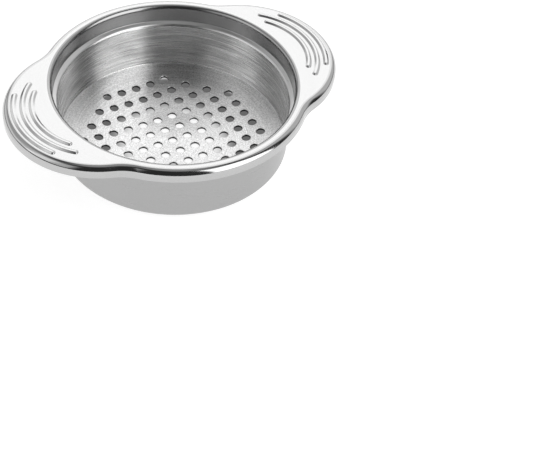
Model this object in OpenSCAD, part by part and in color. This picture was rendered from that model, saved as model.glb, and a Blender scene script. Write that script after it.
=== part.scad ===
// Can strainer: one stainless sheet pressed into a perforated basin, a flat rim and two winged grips.
// The origin is under the flat in the middle of the crowned floor, with +Z up and +X along the grips.
// Every node is one region of the pressing, and neighbouring nodes meet face to face.

/* [Sheet] */
// Thickness of the pressed sheet
sheet_t = 0.8; // [0.6:0.1:1.0]

/* [Floor] */
// Radius of the ball that the crowned floor is part of
crown_r = 205; // [180:1:400]
// Radius of the flat in the middle of the floor, which the strainer stands on
flat_r = 14; // [10:1:18]
// Distance between neighbouring drain holes
hole_pitch = 5.8; // [5.4:0.1:6.0]
// Diameter of a drain hole
hole_d = 3.1; // [2:0.1:3.4]
// Most hole steps from the centre, along a row or across the rows
hole_reach = 5; // [3:1:5]
// Most hole steps from the centre, along and across the rows together
hole_corner_reach = 7; // [5:1:7]

/* [Basin] */
// Outer radius of the lower wall, which goes into a can's mouth
basin_r = 40; // [39.5:0.1:40.3]
// Outer radius of the bend between floor and wall
corner_r = 1.2; // [1.0:0.1:1.6]
// Outer radius of the collar above the shoulder
collar_r = 41.8; // [41:0.1:42]
// Height of the shoulder's lower edge above the origin
shoulder_z = 20.8; // [20:0.1:21.5]
// Height that the shoulder takes to widen from wall to collar
shoulder_h = 1; // [0.8:0.1:2]

/* [Rim] */
// Height of the rim's top face above the origin
rim_z = 28.5; // [27.5:0.1:29.5]
// Upper radius of the bend between collar and rim
mouth_bend_r = 1.5; // [1.2:0.1:2]
// Outer radius of the round part of the rim
rim_r = 45.9; // [45.6:0.1:47]
// Height of the turned-down skirt, from the rim's top face
skirt_h = 4.2; // [3:0.1:4.6]

/* [Grips] */
// Distance from the origin to the centre of a wing's round outline
wing_x = 27.4; // [26.5:0.1:28.5]
// Radius of a wing's round outline
wing_r = 31.8; // [31:0.1:33]
// Radius of the hollow blend between rim and wing
blend_r = 18; // [15:0.5:20]

/* [Ribs] */
// Distance from the origin to the common centre of the raised ribs
rib_x = 27.4; // [27:0.1:27.8]
// Radius of the inner rib's centre line
rib_r = 22.2; // [21.8:0.1:22.4]
// Distance between the centre lines of neighbouring ribs
rib_gap = 3; // [2.8:0.05:3.1]
// Width of a rib on the upper side
rib_w = 2.2; // [1.8:0.1:2.4]
// Width of its groove on the lower side
groove_w = 1.2; // [0.8:0.1:1.4]
// Height of a rib above the rim's top face
rib_h = 0.5; // [0.3:0.1:0.6]

/* [Hidden] */
$fn = 180;
crown_fn = 1440;
bend_fn = 64;
hole_fn = 36;
// Degrees between the points of the rim's outline
arc_step = 2;
steel = [0.80, 0.80, 0.81];
satin_steel = [0.70, 0.70, 0.71];
cut = 1;
// How far a cutting polygon reaches, in radii of the disc that it cuts
over = 2;
pie_steps = 4;

// Half angle of the floor, from the crown's centre to the start of the corner bend
floor_a = asin((basin_r - corner_r) / (crown_r - corner_r));
// Height of the crown's centre, lowered by what the flat cuts off the ball
crown_z = sqrt(crown_r ^ 2 - flat_r ^ 2);
corner_z = crown_z - (crown_r - corner_r) * cos(floor_a);
inner_r = basin_r - sheet_t;
inner_collar_r = collar_r - sheet_t;
collar_z = shoulder_z + shoulder_h;
shoulder_a = atan((collar_r - basin_r) / shoulder_h);
// Height step of a mitre, where the sheet turns through the shoulder's angle
mitre_h = sheet_t * tan(shoulder_a / 2);
mouth_r = inner_collar_r + mouth_bend_r;
bend_z = rim_z - mouth_bend_r;
rim_under_z = rim_z - sheet_t;

// Centre of the hollow blend, which touches the rim's circle and the wing's circle
blend_x = ((rim_r + blend_r) ^ 2 - (wing_r + blend_r) ^ 2 + wing_x ^ 2) / (2 * wing_x);
blend_y = sqrt((rim_r + blend_r) ^ 2 - blend_x ^ 2);
rim_a = atan2(blend_y, blend_x);
wing_a = atan2(blend_y, blend_x - wing_x);
// Half angles of the inner, middle and outer ribs
rib_a = [39, 47, 33];

// A slice of a ring between two angles, in the plane of a section
module bend_section(x, y, r_out, from_a, to_a) {
    mid_a = (from_a + to_a) / 2;
    reach = over * r_out;
    translate([x, y])
        intersection() {
            difference() {
                circle(r = r_out, $fn = bend_fn);
                circle(r = r_out - sheet_t, $fn = bend_fn);
            }
            polygon([[0, 0],
                     [reach * cos(from_a), reach * sin(from_a)],
                     [reach * cos(mid_a), reach * sin(mid_a)],
                     [reach * cos(to_a), reach * sin(to_a)]]);
        }
}

// A slice of a disc between two angles that are under half a turn apart
module pie(r, from_a, to_a) {
    step = (to_a - from_a) / pie_steps;
    intersection() {
        circle(r = r);
        polygon([[0, 0], for (n = [0:pie_steps]) over * r * [cos(from_a + n * step), sin(from_a + n * step)]]);
    }
}

// Points along an arc, without its last one, which is where the next arc starts
function arc(centre, r, from_a, to_a) =
    let (steps = ceil(abs(to_a - from_a) / arc_step))
    [for (n = [0:steps - 1])
        let (a = from_a + (to_a - from_a) * n / steps)
        centre + r * [cos(a), sin(a)]];

// The edge of the round part of the rim between the wings, moved inwards by a margin
function rim_edge(margin) = arc([0, 0], rim_r - margin, rim_a, 180 - rim_a);

// The edge of the right wing: hollow blend, round end and hollow blend, moved inwards by a margin
function wing_edge(margin) = concat(
    arc([blend_x, -blend_y], blend_r + margin, 180 - rim_a, 180 - wing_a),
    arc([wing_x, 0], wing_r - margin, -wing_a, wing_a),
    arc([blend_x, blend_y], blend_r + margin, 180 + wing_a, 180 + rim_a));

// Where the edge changes from rim to wing, on the side of positive x and y
function edge_joint(margin) = (rim_r - margin) * [cos(rim_a), sin(rim_a)];

// The whole flat outline, moved inwards by a margin
module outline(margin) {
    half = concat(wing_edge(margin), rim_edge(margin));
    polygon(concat(half, -half));
}

// Section of the crown's ball of a given radius, without what lies below a flat at a given height
module crown_section(r, flat_z) {
    intersection() {
        translate([0, crown_z])
            circle(r = r, $fn = crown_fn);
        translate([0, flat_z])
            square([crown_r, crown_r]);
    }
}

module perforated_floor() {
    slope_r = crown_r + cut;
    color(steel)
        difference() {
            rotate_extrude()
                intersection() {
                    difference() {
                        crown_section(crown_r, 0);
                        crown_section(crown_r - sheet_t, sheet_t);
                    }
                    polygon([[0, crown_z], [0, crown_z - slope_r],
                             [slope_r * sin(floor_a), crown_z - slope_r * cos(floor_a)]]);
                }
            for (i = [-hole_reach:hole_reach])
                for (j = [-hole_reach:hole_reach])
                    if (abs(i) + abs(j) <= hole_corner_reach)
                        translate([i * hole_pitch, j * hole_pitch, -cut])
                            cylinder(r = hole_d / 2, h = shoulder_z + cut, $fn = hole_fn);
        }
}

module basin_wall() {
    color(satin_steel)
        rotate_extrude() {
            bend_section(basin_r - corner_r, corner_z, corner_r, floor_a - 90, 0);
            polygon([[basin_r, corner_z], [basin_r, shoulder_z],
                     [inner_r, shoulder_z + mitre_h], [inner_r, corner_z]]);
        }
}

module can_stop_shoulder() {
    color(steel)
        rotate_extrude()
            polygon([[basin_r, shoulder_z], [collar_r, collar_z],
                     [inner_collar_r, collar_z + mitre_h], [inner_r, shoulder_z + mitre_h]]);
}

module upper_collar() {
    color(steel)
        rotate_extrude() {
            polygon([[collar_r, collar_z], [collar_r, bend_z],
                     [inner_collar_r, bend_z], [inner_collar_r, collar_z + mitre_h]]);
            bend_section(mouth_r, bend_z, mouth_bend_r, 90, 180);
        }
}

module rim_flange() {
    joint = edge_joint(sheet_t);
    color(steel)
        translate([0, 0, rim_under_z])
            linear_extrude(height = sheet_t)
                for (turn = [0, 180])
                    rotate(turn)
                        difference() {
                            polygon(concat([[0, 0]], rim_edge(sheet_t), [[-joint.x, joint.y]]));
                            circle(r = mouth_r);
                        }
}

// Outline of one rib: a slice of a ring with round ends
module rib_outline(n, w) {
    arc_r = rib_r + n * rib_gap;
    translate([rib_x, 0]) {
        difference() {
            pie(arc_r + w / 2, -rib_a[n], rib_a[n]);
            circle(r = arc_r - w / 2);
        }
        for (end = [-1, 1])
            rotate(end * rib_a[n])
                translate([arc_r, 0])
                    intersection() {
                        circle(r = w / 2, $fn = bend_fn);
                        translate([-w, end > 0 ? 0 : -2 * w])
                            square(2 * w);
                    }
    }
}

// The three ribs of a grip, each w wide, from one height to another
module ribs(w, from_z, to_z) {
    translate([0, 0, from_z])
        linear_extrude(height = to_z - from_z)
            for (n = [0:len(rib_a) - 1])
                rib_outline(n, w);
}

module grip() {
    difference() {
        union() {
            translate([0, 0, rim_under_z])
                linear_extrude(height = sheet_t)
                    difference() {
                        polygon(concat([[0, 0]], wing_edge(sheet_t), [edge_joint(sheet_t)]));
                        circle(r = mouth_r);
                    }
            ribs(rib_w, rim_under_z + sheet_t / 2, rim_z + rib_h);
        }
        ribs(groove_w, rim_under_z - cut, rim_under_z + rib_h);
    }
}

module right_grip() {
    color(steel)
        grip();
}

module left_grip() {
    color(steel)
        mirror([1, 0, 0])
            grip();
}

module edge_skirt() {
    color(steel)
        translate([0, 0, rim_z - skirt_h])
            linear_extrude(height = skirt_h)
                difference() {
                    outline(0);
                    outline(sheet_t);
                }
}

perforated_floor();
basin_wall();
can_stop_shoulder();
upper_collar();
rim_flange();
left_grip();
right_grip();
edge_skirt();
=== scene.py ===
"""Looks of a stainless can strainer: one pressed sheet with a pierced basin, a rim and two ribbed wings.

Every piece is cut from one sheet surface, so neighbouring pieces share their edges and their shading.
Lengths in the shape code are millimetres, and Shell.make turns them into metres.
"""

import math

import bpy
import numpy as np
from mathutils import Matrix, Vector
from mathutils.geometry import delaunay_2d_cdt


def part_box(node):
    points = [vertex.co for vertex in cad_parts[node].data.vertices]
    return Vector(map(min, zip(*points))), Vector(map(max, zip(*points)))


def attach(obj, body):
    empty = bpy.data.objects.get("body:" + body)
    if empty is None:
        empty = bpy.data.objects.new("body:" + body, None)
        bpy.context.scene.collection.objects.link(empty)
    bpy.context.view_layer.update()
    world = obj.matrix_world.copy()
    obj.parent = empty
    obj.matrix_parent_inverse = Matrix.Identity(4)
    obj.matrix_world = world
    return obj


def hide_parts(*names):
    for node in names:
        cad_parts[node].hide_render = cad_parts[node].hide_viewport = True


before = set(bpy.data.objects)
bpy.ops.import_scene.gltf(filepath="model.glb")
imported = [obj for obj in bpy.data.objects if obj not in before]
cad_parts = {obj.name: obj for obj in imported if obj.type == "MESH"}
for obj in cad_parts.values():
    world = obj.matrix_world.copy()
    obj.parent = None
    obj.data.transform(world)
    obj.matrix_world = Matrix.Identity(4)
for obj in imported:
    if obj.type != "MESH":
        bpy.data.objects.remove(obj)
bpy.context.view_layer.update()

MM = 0.001
TINY = 1e-9  # keeps a length from being zero where something is divided by it
INSET = 0.01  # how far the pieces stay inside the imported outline, which has facets


def packed(node, corner, axis):
    """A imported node's extent along one axis, to a tenth of a millimetre."""
    return round(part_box(node)[corner][axis] / MM, 1)


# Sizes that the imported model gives
BASIN_R = packed("basin_wall", 1, 0)
RIM_R = packed("edge_skirt", 1, 1) - INSET
TIP_X = packed("edge_skirt", 1, 0) - INSET
RIM_Z = packed("rim_flange", 1, 2)
SKIRT_Z = packed("edge_skirt", 0, 2)
RIB_Z = packed("left_grip", 1, 2) - INSET

# Sheet and basin
SHEET_T = 0.8
CROWN_R = 205
FLAT_R = 14
FLAT_BLEND = 0.15  # rounds the step from the flat into the crown
CORNER_R = 1.2
SHOULDER_Z = 20.8
SHOULDER_H = 1.0
COLLAR_R = 41.8
LOWER_BEND_R = 0.6
UPPER_BEND_R = 1.0
MOUTH_BEND_R = 0.7

# Drain holes
HOLE_PITCH = 5.8
HOLE_R = 1.55
HOLE_REACH = 5
HOLE_CORNER_REACH = 7
ROLLOVER_W = 0.2  # the punch rounds the top edge of a hole over this width
ROLLOVER_H = 0.12

# Outline of the rim and the wings
WING_R = 31.8
WING_X = TIP_X - WING_R
BLEND_R = 18
EDGE_R = 2.3  # upper radius of the bend between flange and skirt; the flange is flat up to there
CUT_R = 0.2  # rounding of the sheet's cut edge

# Ribs pressed into each wing
RIB_X = 27.4
RIB_R = 22.2
RIB_GAP = 3.0
RIB_W = 2.2
GROOVE_W = 1.4
RIB_ANGLES = (39, 47, 33)
RIB_H = RIB_Z - RIM_Z
# Where a rib's flank starts and ends, and the rounding of both places, in halves of the rib's width
FLANK_TOP = 0.2
FLANK_FOOT = 0.86
FLANK_EASE = 0.14

# Fineness of the meshes
CONTOURS = (0.2, 0.34, 0.6, 0.86, 0.93, 1.0)  # lines along a rib, in halves of its width
RIM_STEPS = 96
WING_MOUTH_STEPS = 108
BEND_STEPS = 10
HOLE_STEPS = 32
BLEND_STEP = 0.45
WING_STEP = 0.5
RIB_STEP = 0.6
RIB_END_STEPS = 9
FLOOR_RINGS = ((0.7, 2), (1.8, 3))  # margin from the floor's edge, and how many turn angles share a point
FLOOR_FILL = HOLE_PITCH / 3
WING_FILL = 1.6
# How far the points that fill a plan stay from its holes, ribs and edges
HOLE_GAP = 0.4
FLOOR_EDGE_GAP = 2.6
RIB_CLEARANCE = 0.5
WING_EDGE_GAP = 0.6
INSIDE_HOLE = 0.99  # a triangle whose middle is within this share of a hole's radius is left out
WELD = 1e-5
WELD_DECIMALS = 5
SLIVER = 1e-7  # twice the least area that a triangle may have, in square millimetres

CROWN_Z = math.sqrt(CROWN_R**2 - FLAT_R**2)
FLOOR_A = math.asin((BASIN_R - CORNER_R) / (CROWN_R - CORNER_R))
CORNER_Z = CROWN_Z - (CROWN_R - CORNER_R) * math.cos(FLOOR_A)
MOUTH_R = COLLAR_R + MOUTH_BEND_R
UNDER_Z = RIM_Z - SHEET_T

# Centre of the hollow blend, which touches the rim's circle and the wing's circle
BLEND_X = ((RIM_R + BLEND_R) ** 2 - (WING_R + BLEND_R) ** 2 + WING_X**2) / (2 * WING_X)
BLEND_Y = math.sqrt((RIM_R + BLEND_R) ** 2 - BLEND_X**2)
RIM_A = math.atan2(BLEND_Y, BLEND_X)
WING_A = math.atan2(BLEND_Y, BLEND_X - WING_X)


class Shell:
    """Faces with a normal at every corner, welded into one closed mesh piece."""

    def __init__(self):
        self.points, self.normals, self.faces, self.tones = [], [], [], []
        self.count = 0

    def add(self, points, normals, faces, flip=False, tone=0):
        faces = np.asarray(faces)
        self.points.append(np.asarray(points, float))
        self.normals.append(np.asarray(normals, float))
        self.faces += [(face[::-1] if flip else face) + self.count for face in faces]
        self.tones += [tone] * len(faces)
        self.count += len(points)

    def grid(self, points, normals, closed=False, flip=False, tone=0):
        """A sheet of quads over rows of points; closed joins each row's end to its start."""
        rows, cols = points.shape[:2]
        index = np.arange(rows * cols).reshape(rows, cols)
        right = np.roll(index, -1, axis=1)
        if not closed:
            index, right = index[:, :-1], right[:, :-1]
        quads = np.stack([index[:-1], right[:-1], right[1:], index[1:]], -1).reshape(-1, 4)
        self.add(points.reshape(-1, 3), normals.reshape(-1, 3), quads, flip, tone)

    def band(self, low, high, normals, closed=True, flip=False, tone=0):
        """A strip between two rows of points."""
        self.grid(np.stack([low, high]), np.stack([normals, normals]), closed, flip, tone)

    def make(self, name, materials, node):
        """Welds the points, gives the corners their normals and puts the piece in place of its CAD node."""
        points, normals = np.concatenate(self.points), np.concatenate(self.normals)
        _, first, welded = np.unique(
            np.round(points, WELD_DECIMALS) + 0.0, axis=0, return_index=True, return_inverse=True
        )
        welded = welded.ravel()
        faces = [[int(welded[i]) for i in face] for face in self.faces]
        kept = [n for n, face in enumerate(faces) if len(set(face)) == len(face)]
        mesh = bpy.data.meshes.new(name)
        mesh.from_pydata((points[first] * MM).tolist(), [], [faces[n] for n in kept])
        mesh.polygons.foreach_set("material_index", [self.tones[n] for n in kept])
        mesh.polygons.foreach_set("use_smooth", [True] * len(kept))
        mesh.normals_split_custom_set([tuple(normals[i]) for n in kept for i in self.faces[n]])
        for material in materials:
            mesh.materials.append(material)
        piece = bpy.data.objects.new(name, mesh)
        bpy.context.scene.collection.objects.link(piece)
        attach(piece, "root")
        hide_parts(node)
        return piece


def turn_angles():
    """Angles round the axis: the mouth of each wing and the rim between them, each divided evenly."""
    wing = np.linspace(-RIM_A, RIM_A, WING_MOUTH_STEPS + 1)[:-1]
    rim = np.linspace(RIM_A, math.pi - RIM_A, RIM_STEPS + 1)[:-1]
    return np.concatenate([wing, rim, wing + math.pi, rim + math.pi])


TURN = turn_angles()


def bend(centre, radius, from_a, to_a, hollow=False):
    """Section points (r, z, normal r, normal z) round a bend; a hollow one has its normals inwards."""
    angles = np.radians(np.linspace(from_a, to_a, BEND_STEPS + 1))
    out = np.stack([np.cos(angles), np.sin(angles)], 1)
    return np.hstack([centre + radius * out, -out if hollow else out])


def lathe(shell, section, thickness=0.0, flip=False, tone=0):
    """Turns a section of the outer face round the axis; a thickness gives the face on the other side."""
    r = section[:, 0] - thickness * section[:, 2]
    z = section[:, 1] - thickness * section[:, 3]
    side = -1 if flip else 1
    shape = (len(section), len(TURN))
    spin = np.stack([np.cos(TURN), np.sin(TURN)], 1)
    points = np.empty((*shape, 3))
    points[..., :2] = r[:, None, None] * spin
    points[..., 2] = z[:, None]
    normals = np.empty((*shape, 3))
    normals[..., :2] = side * section[:, 2][:, None, None] * spin
    normals[..., 2] = side * section[:, 3][:, None]
    shell.grid(points, normals, closed=True, flip=flip, tone=tone)
    return points


def lathe_piece(section, name, materials, node):
    """A closed ring of sheet, from a section of its outer face."""
    shell = Shell()
    outer = lathe(shell, section)
    inner = lathe(shell, section, SHEET_T, flip=True, tone=len(materials) - 1)
    for end, flip in ((0, True), (-1, False)):
        across = np.cross(outer[end] - inner[end], np.roll(outer[end], -1, 0) - outer[end])
        across /= np.linalg.norm(across, axis=1)[:, None]
        shell.band(outer[end], inner[end], -across if flip else across, flip=flip)
    return shell.make(name, materials, node)


def basin_sections():
    """Sections of the outer face, from the floor's edge to the flat rim, one for each lathe piece."""
    slope = math.atan2(COLLAR_R - BASIN_R, SHOULDER_H)
    slope_deg = math.degrees(slope)
    tangent = math.tan(slope / 2)
    collar_z = SHOULDER_Z + SHOULDER_H
    lower_z = SHOULDER_Z - LOWER_BEND_R * tangent
    upper_z = collar_z + UPPER_BEND_R * tangent
    mouth_z = RIM_Z - SHEET_T - MOUTH_BEND_R
    corner = bend((BASIN_R - CORNER_R, CORNER_Z), CORNER_R, math.degrees(FLOOR_A) - 90, 0)
    lower = bend((BASIN_R + LOWER_BEND_R, lower_z), LOWER_BEND_R, 180, 180 - slope_deg, hollow=True)
    upper = bend((COLLAR_R - UPPER_BEND_R, upper_z), UPPER_BEND_R, -slope_deg, 0)
    mouth = bend((COLLAR_R + MOUTH_BEND_R, mouth_z), MOUTH_BEND_R, 180, 90, hollow=True)
    half = BEND_STEPS // 2
    return {
        "wall": np.vstack([corner, lower[: half + 1]]),
        "shoulder": np.vstack([lower[half:], upper[: half + 1]]),
        "collar": np.vstack([upper[half:], mouth]),
    }


def crown_height(r, radius, flat_z):
    """Height and slope of a crowned face that is flat in its middle."""
    depth = np.sqrt(radius**2 - r**2)
    rise = CROWN_Z - depth - flat_z
    soft = np.sqrt(rise**2 + FLAT_BLEND**2)
    return flat_z + (rise + soft) / 2, r / depth * (1 + rise / soft) / 2


def hole_centres():
    """Centres of the drain holes: a square grid with its corners left out."""
    reach = range(-HOLE_REACH, HOLE_REACH + 1)
    steps = [(i, j) for i in reach for j in reach if abs(i) + abs(j) <= HOLE_CORNER_REACH]
    return np.array(steps, float) * HOLE_PITCH


def filler(reach, step):
    """Points of a triangle grid over a square of that half size."""
    rows = np.arange(-reach, reach, step * math.sqrt(0.75))
    cols = np.arange(-reach, reach, step)
    return np.array([(x + (n % 2) * step / 2, y) for n, y in enumerate(rows) for x in cols])


def triangles(points, loops):
    """Delaunay triangles over the points, which keep the edges of the loops."""
    edges = [pair for loop in loops for pair in zip(loop, [*loop[1:], loop[0]])]
    made = delaunay_2d_cdt([Vector(p) for p in points], edges, [], 0, WELD)
    source = [found[0] for found in made[3]]
    faces = np.array([[source[i] for i in face] for face in made[2]])
    a, b, c = (points[faces[:, n]] for n in range(3))
    turned = (b - a)[:, 0] * (c - a)[:, 1] - (b - a)[:, 1] * (c - a)[:, 0]
    faces[turned < 0] = faces[turned < 0][:, ::-1]
    return faces[np.abs(turned) > SLIVER]


def ring(centre, radius, steps):
    """Points of a full circle, starting along +X."""
    angles = np.arange(steps) * 2 * math.pi / steps
    return centre + radius * np.stack([np.cos(angles), np.sin(angles)], 1)


def surface(points, height, slope, direction):
    """Points in space at a height, and upward normals from a slope along a direction."""
    normals = np.concatenate([-slope[:, None] * direction, np.ones((len(points), 1))], 1)
    normals /= np.linalg.norm(normals, axis=1)[:, None]
    return np.column_stack([points, height]), normals


def floor_plan():
    """Flat points of the floor's mesh, its triangles without the holes, and each hole's ring of points."""
    centres = hole_centres()
    edge_r = (CROWN_R - SHEET_T) * math.sin(FLOOR_A)
    edge = edge_r * np.stack([np.cos(TURN), np.sin(TURN)], 1)
    points, loops = [edge], [list(range(len(edge)))]
    rims = []
    count = len(edge)
    for centre in centres:
        for n, margin in enumerate((0, ROLLOVER_W / 3, ROLLOVER_W)):
            points.append(ring(centre, HOLE_R + margin, HOLE_STEPS))
            loop = list(range(count, count + HOLE_STEPS))
            loops.append(loop)
            rims += [loop] if n == 0 else []
            count += HOLE_STEPS
    for margin, share in FLOOR_RINGS:
        points.append(ring(np.zeros(2), edge_r - margin, len(TURN) // share))
    fill = filler(edge_r, FLOOR_FILL)
    near = np.linalg.norm(fill[:, None] - centres, axis=2).min(1)
    clear = near > HOLE_R + ROLLOVER_W + HOLE_GAP
    points.append(fill[clear & (np.linalg.norm(fill, axis=1) < edge_r - FLOOR_EDGE_GAP)])
    points = np.concatenate(points)
    faces = triangles(points, loops)
    middle = points[faces].mean(1)
    keep = np.linalg.norm(middle[:, None] - centres, axis=2).min(1) > HOLE_R * INSIDE_HOLE
    return points, faces[keep], rims, edge_r


def make_floor(materials):
    """The crowned floor, with its punched holes."""
    centres = hole_centres()
    points, faces, rims, edge_r = floor_plan()
    r = np.linalg.norm(points, axis=1)
    out = points / np.maximum(r, TINY)[:, None]
    shell = Shell()

    top_z, top_slope = crown_height(r, CROWN_R - SHEET_T, SHEET_T)
    apart = points[:, None] - centres
    distance = np.linalg.norm(apart, axis=2)
    nearest = distance.argmin(1)
    rows = np.arange(len(points))
    distance = distance[rows, nearest]
    away = apart[rows, nearest] / np.maximum(distance, TINY)[:, None]
    short = np.clip(1 - (distance - HOLE_R) / ROLLOVER_W, 0, 1)
    gradient = top_slope[:, None] * out + (2 * ROLLOVER_H / ROLLOVER_W * short)[:, None] * away
    slope = np.linalg.norm(gradient, axis=1)
    direction = gradient / np.maximum(slope, TINY)[:, None]
    top, top_normals = surface(points, top_z - ROLLOVER_H * short**2, slope, direction)
    shell.add(top, top_normals, faces)

    below = points.copy()
    below[: len(TURN)] *= CROWN_R / (CROWN_R - SHEET_T)
    low_z, low_slope = crown_height(np.linalg.norm(below, axis=1), CROWN_R, 0)
    low, low_normals = surface(below, low_z, low_slope, out)
    shell.add(low, -low_normals, faces, flip=True)

    # The hole walls take the second material, whose near-black tone is partly painted shade inside the
    # holes
    for loop, centre in zip(rims, centres):
        inward = np.column_stack([(centre - points[loop]) / HOLE_R, np.zeros(len(loop))])
        shell.band(top[loop], low[loop], inward, tone=1)
    edge = slice(0, len(TURN))
    outward = np.column_stack([out[edge] * math.cos(FLOOR_A), np.full(len(TURN), math.sin(FLOOR_A))])
    shell.band(low[edge], top[edge], outward)
    return shell.make("pierced_floor", materials, "perforated_floor")


def arc(centre, radius, from_a, to_a, steps, hollow=False):
    """Points and outward normals along an arc of the outline, without its last point."""
    angles = np.linspace(from_a, to_a, steps + 1)[:-1]
    out = np.stack([np.cos(angles), np.sin(angles)], 1)
    return np.hstack([centre + radius * out, -out if hollow else out])


def wing_path():
    """The right wing's outline: hollow blend, round end and hollow blend."""
    turn = WING_A - RIM_A
    blend_steps = round(turn * BLEND_R / BLEND_STEP)
    end_steps = round(2 * WING_A * WING_R / WING_STEP)
    return np.vstack([
        arc((BLEND_X, -BLEND_Y), BLEND_R, math.pi - RIM_A, math.pi - WING_A, blend_steps, hollow=True),
        arc((WING_X, 0), WING_R, -WING_A, WING_A, end_steps),
        arc((BLEND_X, BLEND_Y), BLEND_R, math.pi + WING_A, math.pi + RIM_A, blend_steps, hollow=True),
    ])


def rim_path():
    """The rim's outline between the wings, on the side of positive Y."""
    return arc((0, 0), RIM_R, RIM_A, math.pi - RIM_A, RIM_STEPS)


def inset(path, margin):
    """Points of an outline moved inwards."""
    return path[:, :2] - margin * path[:, 2:]


def eased(x):
    """Integral of a step that rises over FLANK_EASE."""
    x = np.maximum(x, 0)
    return np.where(x < FLANK_EASE, x**2 / (2 * FLANK_EASE), x - FLANK_EASE / 2)


def bump(distance, width, height):
    """Height and slope of a pressed rib across its width: a flat crest between two straight flanks."""
    u = distance / (width / 2)
    span = FLANK_FOOT - FLANK_TOP
    drop = (eased(u - FLANK_TOP) - eased(u - FLANK_FOOT)) / span
    steep = np.clip((u - FLANK_TOP) / FLANK_EASE, 0, 1) - np.clip((u - FLANK_FOOT) / FLANK_EASE, 0, 1)
    return height * (1 - drop), -2 * height / width / span * steep


def rib_field(points, width, height):
    """Height, slope and direction of the ribs at points of the right wing."""
    away = points - (RIB_X, 0)
    rho = np.linalg.norm(away, axis=1)
    phi = np.arctan2(away[:, 1], away[:, 0])
    best = np.full(len(points), np.inf)
    direction = np.zeros_like(points)
    for n, angle in enumerate(RIB_ANGLES):
        radius = RIB_R + n * RIB_GAP
        held = np.clip(phi, -math.radians(angle), math.radians(angle))
        foot = np.array([RIB_X, 0]) + radius * np.stack([np.cos(held), np.sin(held)], 1)
        gap = points - foot
        distance = np.linalg.norm(gap, axis=1)
        closer = distance < best
        best[closer] = distance[closer]
        direction[closer] = (gap / np.maximum(distance, TINY)[:, None])[closer]
    rise, slope = bump(best, width, height)
    return rise, slope, direction, best


def rib_contour(n, margin):
    """A closed line at one distance from a rib's centre line."""
    half = math.radians(RIB_ANGLES[n])
    radius = RIB_R + n * RIB_GAP
    steps = round(2 * half * radius / RIB_STEP)
    angles = np.linspace(-half, half, steps + 1)
    side = np.stack([np.cos(angles), np.sin(angles)], 1)
    ends = []
    for sign in (1, -1):
        start = half if sign > 0 else math.pi - half
        turn = start + np.linspace(0, math.pi, RIB_END_STEPS)[1:-1]
        centre = radius * np.array([math.cos(half), sign * math.sin(half)])
        ends.append(centre + margin * np.stack([np.cos(turn), np.sin(turn)], 1))
    outer, inner = (radius + margin) * side, (radius - margin) * side[::-1]
    return np.array([RIB_X, 0]) + np.vstack([outer, ends[0], inner, ends[1]])


def rib_crest(n):
    """Points along a rib's centre line."""
    half = math.radians(RIB_ANGLES[n])
    radius = RIB_R + n * RIB_GAP
    angles = np.linspace(-half, half, round(2 * half * radius / RIB_STEP) + 1)
    return np.array([RIB_X, 0]) + radius * np.stack([np.cos(angles), np.sin(angles)], 1)


def seam_line():
    """Points between mouth and outline where rim and wing meet, on the side of positive X and Y."""
    radii = np.linspace(MOUTH_R, RIM_R - EDGE_R, 4)
    return radii[:, None] * np.array([math.cos(RIM_A), math.sin(RIM_A)])


def wing_plan():
    """Flat points and triangles of the right wing, and its boundary loop."""
    outline = inset(wing_path(), EDGE_R)
    seam = seam_line()
    mouth_a = np.linspace(RIM_A, -RIM_A, WING_MOUTH_STEPS + 1)
    mouth = MOUTH_R * np.stack([np.cos(mouth_a), np.sin(mouth_a)], 1)
    boundary = np.vstack([outline, seam[::-1], mouth[1:-1], seam[:-1] * (1, -1)])
    points, loops = [boundary], [list(range(len(boundary)))]
    count = len(boundary)
    for n in range(len(RIB_ANGLES)):
        for margin in np.array(CONTOURS) * RIB_W / 2:
            contour = rib_contour(n, margin)
            points.append(contour)
            loops.append(list(range(count, count + len(contour))))
            count += len(contour)
        points.append(rib_crest(n))
        count += len(points[-1])
    fill = filler(2 * RIM_R, WING_FILL)
    _, _, _, to_rib = rib_field(fill, RIB_W, RIB_H)
    to_edge = np.linalg.norm(fill[:, None] - boundary, axis=2).min(1)
    inside = inside_loop(fill, boundary)
    clear = (to_rib > RIB_W / 2 + RIB_CLEARANCE) & (to_edge > WING_EDGE_GAP)
    points.append(fill[inside & clear])
    points = np.concatenate(points)
    faces = triangles(points, loops)
    keep = inside_loop(points[faces].mean(1), boundary)
    return points, faces[keep], len(boundary)


def inside_loop(points, loop):
    """Which points lie inside a closed line, by how often a ray along +X crosses it."""
    ends = np.roll(loop, -1, 0)
    found = np.zeros(len(points), bool)
    for (ax, ay), (bx, by) in zip(loop, ends):
        if ay == by:
            continue
        spans = (points[:, 1] < ay) != (points[:, 1] < by)
        at = ax + (points[:, 1] - ay) * (bx - ax) / (by - ay)
        found ^= spans & (points[:, 0] < at)
    return found


def make_wing(name, side, materials, node):
    """One wing with its pressed ribs; side is 1 on +X and -1 on -X."""
    points, faces, edge_count = wing_plan()
    shell = Shell()
    rise, slope, direction, _ = rib_field(points, RIB_W, RIB_H)
    top, top_normals = surface(points, RIM_Z + rise, slope, direction)
    rise, slope, direction, _ = rib_field(points, GROOVE_W, RIB_H)
    low, low_normals = surface(points, UNDER_Z + rise, slope, direction)
    loop = points[:edge_count]
    along = np.roll(loop, -1, 0) - loop
    out = np.column_stack([along[:, 1], -along[:, 0], np.zeros(edge_count)])
    out /= np.linalg.norm(out, axis=1)[:, None]
    turn = np.array([side, side, 1])
    shell.add(top * turn, top_normals * turn, faces)
    shell.add(low * turn, -low_normals * turn, faces, flip=True)
    shell.band(low[:edge_count] * turn, top[:edge_count] * turn, out * turn)
    return shell.make(name, materials, node)


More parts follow.
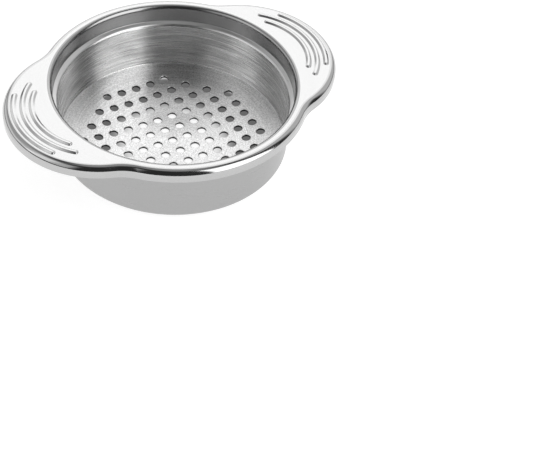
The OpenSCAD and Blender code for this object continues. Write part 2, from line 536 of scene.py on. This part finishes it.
def make_rim(materials):
    """The two flat stretches of rim between the wings."""
    shell = Shell()
    angles = np.linspace(RIM_A, math.pi - RIM_A, RIM_STEPS + 1)
    radii = np.linspace(MOUTH_R, RIM_R - EDGE_R, 4)
    spin = np.stack([np.cos(angles), np.sin(angles)], 1)
    flat = radii[:, None, None] * spin
    up = np.array([0.0, 0.0, 1.0])
    for side in (1, -1):
        top, low = (np.dstack([side * flat, np.full(flat.shape[:2], z)]) for z in (RIM_Z, UNDER_Z))
        face_up = np.broadcast_to(up, top.shape)
        shell.grid(top, face_up, flip=True)
        shell.grid(low, -face_up)
        out = np.column_stack([side * spin, np.zeros(len(spin))])
        shell.band(low[-1], top[-1], out, closed=False)
        shell.band(low[0], top[0], -out, closed=False, flip=True)
        for end, sign in ((0, -1), (-1, 1)):
            tangent = sign * side * np.array([-spin[end][1], spin[end][0], 0])
            rows = np.broadcast_to(tangent, (len(radii), 3))
            shell.band(low[:, end], top[:, end], rows, closed=False, flip=sign > 0)
    return shell.make("flat_rim", materials, "rim_flange")


def make_skirt(materials):
    """The rolled edge and the skirt below it, swept along the whole outline."""
    half = np.vstack([wing_path(), rim_path()])
    path = np.vstack([half, -half])
    top = bend((-EDGE_R, RIM_Z - EDGE_R), EDGE_R, 90, 0)
    foot = bend((-CUT_R, SKIRT_Z + CUT_R), CUT_R, 0, -90)
    heel = bend((-SHEET_T + CUT_R, SKIRT_Z + CUT_R), CUT_R, -90, -180)
    under = bend((-EDGE_R, RIM_Z - EDGE_R), EDGE_R - SHEET_T, 0, 90, hollow=True)
    section = np.vstack([top, foot, heel, under, [[-EDGE_R, UNDER_Z, -1, 0], [-EDGE_R, RIM_Z, -1, 0]]])
    points = np.empty((len(section), len(path), 3))
    points[..., :2] = path[:, :2] + section[:, 0][:, None, None] * path[:, 2:]
    points[..., 2] = section[:, 1][:, None]
    normals = np.empty_like(points)
    normals[..., :2] = section[:, 2][:, None, None] * path[:, 2:]
    normals[..., 2] = section[:, 3][:, None]
    shell = Shell()
    shell.grid(points[:-2], normals[:-2], closed=True, flip=True)
    shell.grid(points[-2:], normals[-2:], closed=True, flip=True)
    return shell.make("rolled_skirt", materials, "edge_skirt")


class Graph:
    """Short calls that add shader nodes to one node tree."""

    def __init__(self, tree):
        self.tree = tree
        tree.nodes.clear()

    def add(self, kind, **settings):
        node = self.tree.nodes.new(kind)
        for key, value in settings.items():
            setattr(node, key, value)
        return node

    def plug(self, source, target):
        if isinstance(source, bpy.types.NodeSocket):
            self.tree.links.new(source, target)
        else:
            target.default_value = source

    def math(self, operation, *inputs):
        node = self.add("ShaderNodeMath", operation=operation)
        for value, target in zip(inputs, node.inputs):
            self.plug(value, target)
        return node.outputs[0]

    def vector(self, operation, *inputs, output=0):
        node = self.add("ShaderNodeVectorMath", operation=operation)
        for value, target in zip(inputs, node.inputs):
            self.plug(value, target)
        return node.outputs[output]

    def remap(self, value, low, high, to_low=0.0, to_high=1.0, smooth=False):
        node = self.add("ShaderNodeMapRange", interpolation_type="SMOOTHSTEP" if smooth else "LINEAR")
        names = ("From Min", "From Max", "To Min", "To Max")
        for name, number in zip(names, (low, high, to_low, to_high)):
            node.inputs[name].default_value = number
        self.plug(value, node.inputs["Value"])
        return node.outputs[0]

    def combine(self, x, y, z):
        node = self.add("ShaderNodeCombineXYZ")
        for value, target in zip((x, y, z), node.inputs):
            self.plug(value, target)
        return node.outputs[0]

    def noise(self, vector, scale, detail=2.0, roughness=0.5):
        node = self.add("ShaderNodeTexNoise")
        self.plug(vector, node.inputs["Vector"])
        node.inputs["Scale"].default_value = scale
        node.inputs["Detail"].default_value = detail
        node.inputs["Roughness"].default_value = roughness
        return node.outputs[0]

    def grey(self, value):
        return self.combine(value, value, value)


# Scales of the steel's noise: on a circle of radius 1 that stands for the turn round the axis,
# per metre across the brushing, and per metre in all directions
LONG_SCALE = 2.6
FINE_SCALE = 3000.0
WIDE_SCALE = 1300.0
SPECK_SCALE = 2200.0
NOISE_RANGE = (0.3, 0.7)  # the part of the noise that the tone follows
ROUGHNESS_SWING = 0.15


def steel(name, tone, roughness, streaks, grain, anisotropy=0.0):
    """Stainless steel, brushed round the axis. Streaks and grain are shares by which the tone varies."""
    material = bpy.data.materials.new(name)
    material.use_nodes = True
    g = Graph(material.node_tree)
    place = g.add("ShaderNodeTexCoord").outputs["Object"]
    split = g.add("ShaderNodeSeparateXYZ")
    g.plug(place, split.inputs[0])
    x, y, z = split.outputs
    flat = g.combine(x, y, 0.0)
    radius = g.vector("LENGTH", flat, output=1)
    spin = g.vector("NORMALIZE", flat)
    # Long round the axis and short across the brushing, which runs up the wall and out over the floor
    across = g.math("ADD", radius, z)
    long_way = g.vector("SCALE", spin)
    long_way.node.inputs["Scale"].default_value = LONG_SCALE
    fine_across = g.combine(0.0, 0.0, g.math("MULTIPLY", across, FINE_SCALE))
    wide_across = g.combine(0.0, 0.0, g.math("MULTIPLY", across, WIDE_SCALE))
    fine = g.noise(g.vector("ADD", long_way, fine_across), 1.0, 2.0)
    wide = g.noise(g.vector("ADD", long_way, wide_across), 1.0, 3.0, 0.6)
    speck = g.noise(place, SPECK_SCALE, 2.0)
    brushed = g.math("ADD", g.math("MULTIPLY", fine, 0.5), g.math("MULTIPLY", wide, 0.5))
    shade = g.remap(brushed, *NOISE_RANGE, 1 - streaks, 1 + streaks)
    dust = g.remap(speck, *NOISE_RANGE, 1 - grain, 1 + grain)
    colour = g.math("MULTIPLY", g.math("MULTIPLY", shade, dust), tone)
    least, most = roughness * (1 - ROUGHNESS_SWING), roughness * (1 + ROUGHNESS_SWING)
    shader = g.add("ShaderNodeBsdfPrincipled")
    shader.inputs["Metallic"].default_value = 1.0
    shader.inputs["Anisotropic"].default_value = anisotropy
    shader.inputs["Anisotropic Rotation"].default_value = 0.25
    g.plug(g.grey(colour), shader.inputs["Base Color"])
    g.plug(g.remap(brushed, *NOISE_RANGE, least, most), shader.inputs["Roughness"])
    if anisotropy:
        tangent = g.add("ShaderNodeTangent", direction_type="RADIAL", axis="Z")
        g.plug(tangent.outputs[0], shader.inputs["Tangent"])
    output = g.add("ShaderNodeOutputMaterial")
    g.plug(shader.outputs[0], output.inputs["Surface"])
    return material


# Heading of the line from the camera to the strainer, from which the softboxes' azimuths are counted
VIEW_AZ = -28.0
# Softboxes: azimuth from straight behind the strainer, towards the right, half width and edge softness,
# lowest elevation and its softness, highest elevation and its softness, and brightness
SOFTBOXES = (
    (2, 31, 7, 6, 4, 68, 12, 1.85),  # behind
    (55, 22, 8, 6, 4, 62, 12, 0.9),  # behind, to the right
    (-60, 26, 5, 4, 4, 60, 12, 0.62),  # behind, to the left
    (-72, 36, 8, 9, 4, 26, 5, 0.6),  # low, to the left
    (-104, 22, 8, 16, 4, 62, 12, 0.62),  # on the left
    (125, 25, 2, 3, 4, 66, 8, 2.8),  # beside the camera, on the right
    (-122, 28, 8, 12, 6, 56, 8, 0.8),  # beside the camera, on the left
    (0, 180, 1, 76, 8, 124, 8, 0.5),  # overhead, all round
)
SHADE = 0.045  # brightness of the room between the softboxes


def studio():
    """A dark room with softboxes, which lights the strainer and shows in its faces.

    The camera itself sees plain white in place of the room.
    """
    world = bpy.data.worlds.new("studio")
    bpy.context.scene.world = world
    world.use_nodes = True
    g = Graph(world.node_tree)
    look = g.add("ShaderNodeTexCoord").outputs["Generated"]
    split = g.add("ShaderNodeSeparateXYZ")
    g.plug(look, split.inputs[0])
    level = g.vector("NORMALIZE", g.combine(split.outputs[0], split.outputs[1], 0.0))
    height = g.math("MULTIPLY", g.math("ARCSINE", split.outputs[2]), math.degrees(1))
    total = SHADE
    for azimuth, half, soft, low, low_soft, high, high_soft, bright in SOFTBOXES:
        heading = math.radians(VIEW_AZ - azimuth)
        facing = g.vector("DOT_PRODUCT", level, (-math.sin(heading), math.cos(heading), 0), output=1)
        turn = g.math("MULTIPLY", g.math("ARCCOSINE", facing), math.degrees(1))
        wide = g.remap(turn, half + soft, half - soft, smooth=True)
        above = g.remap(height, low - low_soft, low + low_soft, smooth=True)
        below = g.remap(height, high + high_soft, high - high_soft, smooth=True)
        box = g.math("MULTIPLY", g.math("MULTIPLY", wide, above), g.math("MULTIPLY", below, bright))
        total = g.math("ADD", total, box)
    seen = g.add("ShaderNodeLightPath").outputs["Is Camera Ray"]
    strength = g.math("ADD", g.math("MULTIPLY", total, g.math("SUBTRACT", 1.0, seen)), seen)
    background = g.add("ShaderNodeBackground")
    g.plug(strength, background.inputs["Strength"])
    output = g.add("ShaderNodeOutputWorld")
    g.plug(background.outputs[0], output.inputs["Surface"])


PAPER_TONE = 0.4
PAPER_GLOW = 0.8
# A painted ring of shade under the floor: how bright it is, and where it starts and ends, in basin radii
SHADE_TONE = 0.16
SHADE_START = (0.3, 0.6)
SHADE_END = (0.84, 0.92)
GROUND_REACH = 3.0


def pale_paper():
    """White glowing paper with a painted ring of shade, which leaves it white under the middle holes."""
    material = bpy.data.materials.new("pale_paper")
    material.use_nodes = True
    g = Graph(material.node_tree)
    away = g.vector("LENGTH", g.add("ShaderNodeTexCoord").outputs["Object"], output=1)
    start, end = (tuple(share * BASIN_R * MM for share in pair) for pair in (SHADE_START, SHADE_END))
    under = g.remap(away, *start, 1.0, SHADE_TONE, smooth=True)
    beyond = g.remap(away, *end, SHADE_TONE, 1.0, smooth=True)
    shade = g.math("MAXIMUM", under, beyond)
    diffuse = g.add("ShaderNodeBsdfDiffuse")
    g.plug(g.grey(g.math("MULTIPLY", shade, PAPER_TONE)), diffuse.inputs["Color"])
    glow = g.add("ShaderNodeEmission")
    g.plug(g.math("MULTIPLY", shade, PAPER_GLOW), glow.inputs["Strength"])
    both = g.add("ShaderNodeAddShader")
    g.plug(diffuse.outputs[0], both.inputs[0])
    g.plug(glow.outputs[0], both.inputs[1])
    output = g.add("ShaderNodeOutputMaterial")
    g.plug(both.outputs[0], output.inputs["Surface"])
    return material


def make_ground():
    """The plain pale floor that the strainer stands on."""
    corners = [(x * GROUND_REACH, y * GROUND_REACH, 0) for x, y in ((-1, -1), (1, -1), (1, 1), (-1, 1))]
    mesh = bpy.data.meshes.new("ground")
    mesh.from_pydata(corners, [], [(0, 1, 2, 3)])
    ground = bpy.data.objects.new("ground", mesh)
    bpy.context.scene.collection.objects.link(ground)
    mesh.materials.append(pale_paper())


# The camera's heading, height above the horizon and roll, in degrees
CAMERA_ANGLES = (-32.579, 44.066, 4.266)
# Its place in metres: to the right, up and back along its own axes, and a rise along Z
CAMERA_PLACE = (0.0204, -0.01405, 0.42446)
CAMERA_RISE = 0.00034
SENSOR_WIDTH = 36
LENS = 81.24
LENS_SHIFT = (0.0675, -0.0826)


def make_camera():
    """The camera, with a small lens shift because the strainer stands off the middle of the frame."""
    heading, height, roll = (math.radians(a) for a in CAMERA_ANGLES)
    level = Vector((math.sin(heading), -math.cos(heading), 0))
    back = Vector((level.x * math.cos(height), level.y * math.cos(height), math.sin(height)))
    right = Vector((math.cos(heading), math.sin(heading), 0))
    up = back.cross(right)
    right, up = (
        math.cos(roll) * right + math.sin(roll) * up,
        math.cos(roll) * up - math.sin(roll) * right,
    )
    along = CAMERA_PLACE[0] * right + CAMERA_PLACE[1] * up + CAMERA_PLACE[2] * back
    place = along + Vector((0, 0, CAMERA_RISE))
    data = bpy.data.cameras.new("camera")
    data.sensor_width = SENSOR_WIDTH
    data.lens = LENS
    data.shift_x, data.shift_y = LENS_SHIFT
    data.clip_start = 0.01
    camera = bpy.data.objects.new("camera", data)
    camera.matrix_world = Matrix.Translation(place) @ Matrix((right, up, back)).transposed().to_4x4()
    bpy.context.scene.collection.objects.link(camera)
    bpy.context.scene.camera = camera


def make_strainer():
    # The sheet is one steel, but its tone differs by region, from 0.06 to 0.71: partly finish, and partly
    # painted light and shade that stand in for what each region reflects
    polished = steel("polished_steel", 0.62, 0.14, streaks=0.02, grain=0.02)
    # Floor: its tone, above the polished steel's, is partly painted light that makes up for the bright room
    # which the basin's walls hide from its reflection
    brushed = steel("brushed_steel", 0.71, 0.33, streaks=0.2, grain=0.26, anisotropy=0.5)
    # Outer wall: the roughness is a real satin finish, but the low tone 0.42 is partly painted shade, which
    # stands in for the shaded floor round the basin's foot that the wall reflects
    satin_and_shade = steel("satin_steel", 0.42, 0.3, streaks=0.02, grain=0.02)
    # Inner wall: its tone, above the polished steel's, is partly painted light
    inside = steel("inner_wall_steel", 0.7, 0.26, streaks=0.45, grain=0.06, anisotropy=0.93)
    # Inside of the collar: the same steel, with its tone lowered to 0.36 as painted shade for what the
    # collar reflects
    collar = steel("collar_steel", 0.36, 0.2, streaks=0.03, grain=0.02)
    shoulder = steel("shoulder_steel", 0.62, 0.3, streaks=0.05, grain=0.02)
    # Skirt: its lowered tone is partly painted shade, for the shaded floor next to the strainer that it
    # reflects
    skirt = steel("skirt_steel", 0.52, 0.12, streaks=0.02, grain=0.02)
    # Hole walls: rough sheared metal, and their near-black tone is also painted shade inside the holes
    punched_and_shaded = steel("punched_and_shaded_edge", 0.06, 0.45, streaks=0.0, grain=0.0)
    sections = basin_sections()
    make_floor([brushed, punched_and_shaded])
    lathe_piece(sections["wall"], "basin_side", [satin_and_shade, inside], "basin_wall")
    lathe_piece(sections["shoulder"], "stop_shoulder", [shoulder], "can_stop_shoulder")
    lathe_piece(sections["collar"], "mouth_collar", [polished, collar], "upper_collar")
    make_rim([polished])
    make_wing("right_wing", 1, [polished], "right_grip")
    make_wing("left_wing", -1, [polished], "left_grip")
    make_skirt([skirt])


make_camera()
studio()
make_ground()
make_strainer()
bpy.context.scene.view_settings.view_transform = "Standard"
